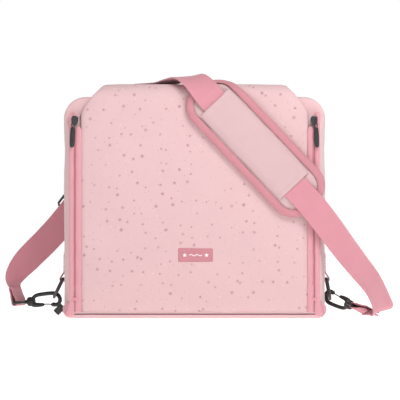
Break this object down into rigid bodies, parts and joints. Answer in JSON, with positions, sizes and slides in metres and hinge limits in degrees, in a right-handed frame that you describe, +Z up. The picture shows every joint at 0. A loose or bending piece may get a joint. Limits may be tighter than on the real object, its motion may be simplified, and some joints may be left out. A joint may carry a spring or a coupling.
{
  "type": "baby care shoulder bag",
  "caption": "Soft box-shaped baby bag with a zip-down front flap, padded lip, side rings and a webbing shoulder strap with a sliding pad.",
  "frame": {"origin": "centre of the base, on the surface that the bag stands on", "axes": "+Z up, -Y out of the front flap, +X to the right as seen from the front"},
  "size_m": [0.5098, 0.1718, 0.3147],
  "materials": {
    "star_fabric": "pale pink woven cloth with small mauve stars",
    "plain_fabric": "pale pink woven cloth",
    "lining_cloth": "pale lining",
    "webbing": "dusty pink ribbed webbing",
    "coil": "dusty pink zip coil",
    "foam": "soft foam sheet",
    "board": "stiff sheet",
    "black_plastic": "black moulded plastic",
    "black_metal": "black painted metal",
    "black_cloth": "black hook and loop strip"
  },
  "bodies": {
    "root": {"back_panel": "star_fabric", "left_side_panel": "star_fabric", "right_side_panel": "star_fabric", "top_panel": "plain_fabric", "base_panel": "plain_fabric", "lining": "lining_cloth", "inner_pocket": "lining_cloth", "pocket_elastic": "webbing", "rear_piping": "webbing", "left_zip_end_patch": "webbing", "right_zip_end_patch": "webbing", "left_body_tape": "webbing", "right_body_tape": "webbing", "left_ring_tab": "webbing", "right_ring_tab": "webbing", "shoulder_strap": "webbing", "left_body_coil": "coil", "right_body_coil": "coil", "back_foam": "foam", "left_foam": "foam", "right_foam": "foam", "top_foam": "foam", "base_board": "board", "left_corner_tab": "black_plastic", "left_bottom_stop": "black_metal", "right_bottom_stop": "black_metal", "left_top_stop": "black_metal", "right_top_stop": "black_metal", "top_loop_strip": "black_cloth"},
    "flap": {"flap_outer": "star_fabric", "flap_foam": "foam", "lip_foam": "foam", "flap_lining": "lining_cloth", "flap_hook_strip": "black_cloth", "label_patch": "webbing", "left_flap_tape": "webbing", "right_flap_tape": "webbing", "left_flap_coil": "coil", "right_flap_coil": "coil"},
    "left_slider": {"left_slider": "black_metal"},
    "left_puller": {"left_puller": "black_metal"},
    "left_ring": {"left_d_ring": "black_metal"},
    "left_hook": {"left_hook": "black_plastic"},
    "left_eye": {"left_swivel_eye": "black_plastic", "left_strap_end": "webbing"},
    "left_gate": {"left_gate": "black_metal"},
    "right_slider": {"right_slider": "black_metal"},
    "right_puller": {"right_puller": "black_metal"},
    "right_ring": {"right_d_ring": "black_metal"},
    "right_hook": {"right_hook": "black_plastic"},
    "right_eye": {"right_swivel_eye": "black_plastic", "right_strap_end": "webbing"},
    "right_gate": {"right_gate": "black_metal"},
    "adjuster": {"strap_adjuster": "black_plastic"},
    "pad": {"pad_base": "plain_fabric", "pad_binding": "webbing", "pad_sleeve": "plain_fabric"}
  },
  "joints": [
    {"name": "flap_hinge", "type": "hinge", "parent": "root", "child": "flap", "pos_m": [0, -0.07, 0.007], "axis": [1, 0, 0], "range_deg": [0, 90], "deforming": ["shoulder_strap", "strap_adjuster", "pad_base", "pad_binding", "pad_sleeve", "left_strap_end", "right_strap_end"]},
    {"name": "left_slider_travel", "type": "slide", "parent": "root", "child": "left_slider", "axis": [0, 0, -1], "range_m": [0, 0.218]},
    {"name": "left_puller_swing", "type": "hinge", "parent": "left_slider", "child": "left_puller", "pos_m": [-0.1555, -0.0746, 0.251], "axis": [-1, 0, 0], "range_deg": [0, 150]},
    {"name": "right_slider_travel", "type": "slide", "parent": "root", "child": "right_slider", "axis": [0, 0, -1], "range_m": [0, 0.218]},
    {"name": "right_puller_swing", "type": "hinge", "parent": "right_slider", "child": "right_puller", "pos_m": [0.1555, -0.0746, 0.251], "axis": [-1, 0, 0], "range_deg": [0, 150]},
    {"name": "left_ring_swing", "type": "hinge", "parent": "root", "child": "left_ring", "pos_m": [-0.1738, 0.052, 0.048], "axis": [0, 1, 0], "range_deg": [-4, 20]},
    {"name": "left_hook_swing", "type": "hinge", "parent": "left_ring", "child": "left_hook", "pos_m": [-0.18551, 0.052, 0.02367], "axis": [0, 1, 0], "range_deg": [-8, 8]},
    {"name": "left_eye_swivel", "type": "hinge", "parent": "left_hook", "child": "left_eye", "pos_m": [-0.22467, 0.06437, 0.01695], "axis": [-0.9497, 0.2999, -0.09], "range_deg": [-12, 12]},
    {"name": "left_gate_press", "type": "hinge", "parent": "left_hook", "child": "left_gate", "pos_m": [-0.19998, 0.05657, 0.01387], "axis": [-0.3011, -0.9536, 0], "range_deg": [0, 32], "stiffness_Nm_per_rad": 0.02, "springref_deg": -11.46},
    {"name": "right_ring_swing", "type": "hinge", "parent": "root", "child": "right_ring", "pos_m": [0.1738, 0.052, 0.048], "axis": [0, -1, 0], "range_deg": [-4, 20]},
    {"name": "right_hook_swing", "type": "hinge", "parent": "right_ring", "child": "right_hook", "pos_m": [0.17886, 0.052, 0.02148], "axis": [0, 1, 0], "range_deg": [-8, 8]},
    {"name": "right_eye_swivel", "type": "hinge", "parent": "right_hook", "child": "right_eye", "pos_m": [0.2094, 0.02533, 0.01214], "axis": [0.7199, -0.6287, -0.2941], "range_deg": [-12, 12]},
    {"name": "right_gate_press", "type": "hinge", "parent": "right_hook", "child": "right_gate", "pos_m": [0.19224, 0.04032, 0.0248], "axis": [-0.6578, -0.7532, 0], "range_deg": [0, 32], "stiffness_Nm_per_rad": 0.02, "springref_deg": -11.46},
    {"name": "adjuster_slide", "type": "slide", "parent": "root", "child": "adjuster", "axis": [0.6112, 0, 0.7915], "range_m": [0, 0.05]},
    {"name": "pad_slide", "type": "slide", "parent": "root", "child": "pad", "axis": [0.6878, 0, -0.7259], "range_m": [0, 0.02]}
  ]
}
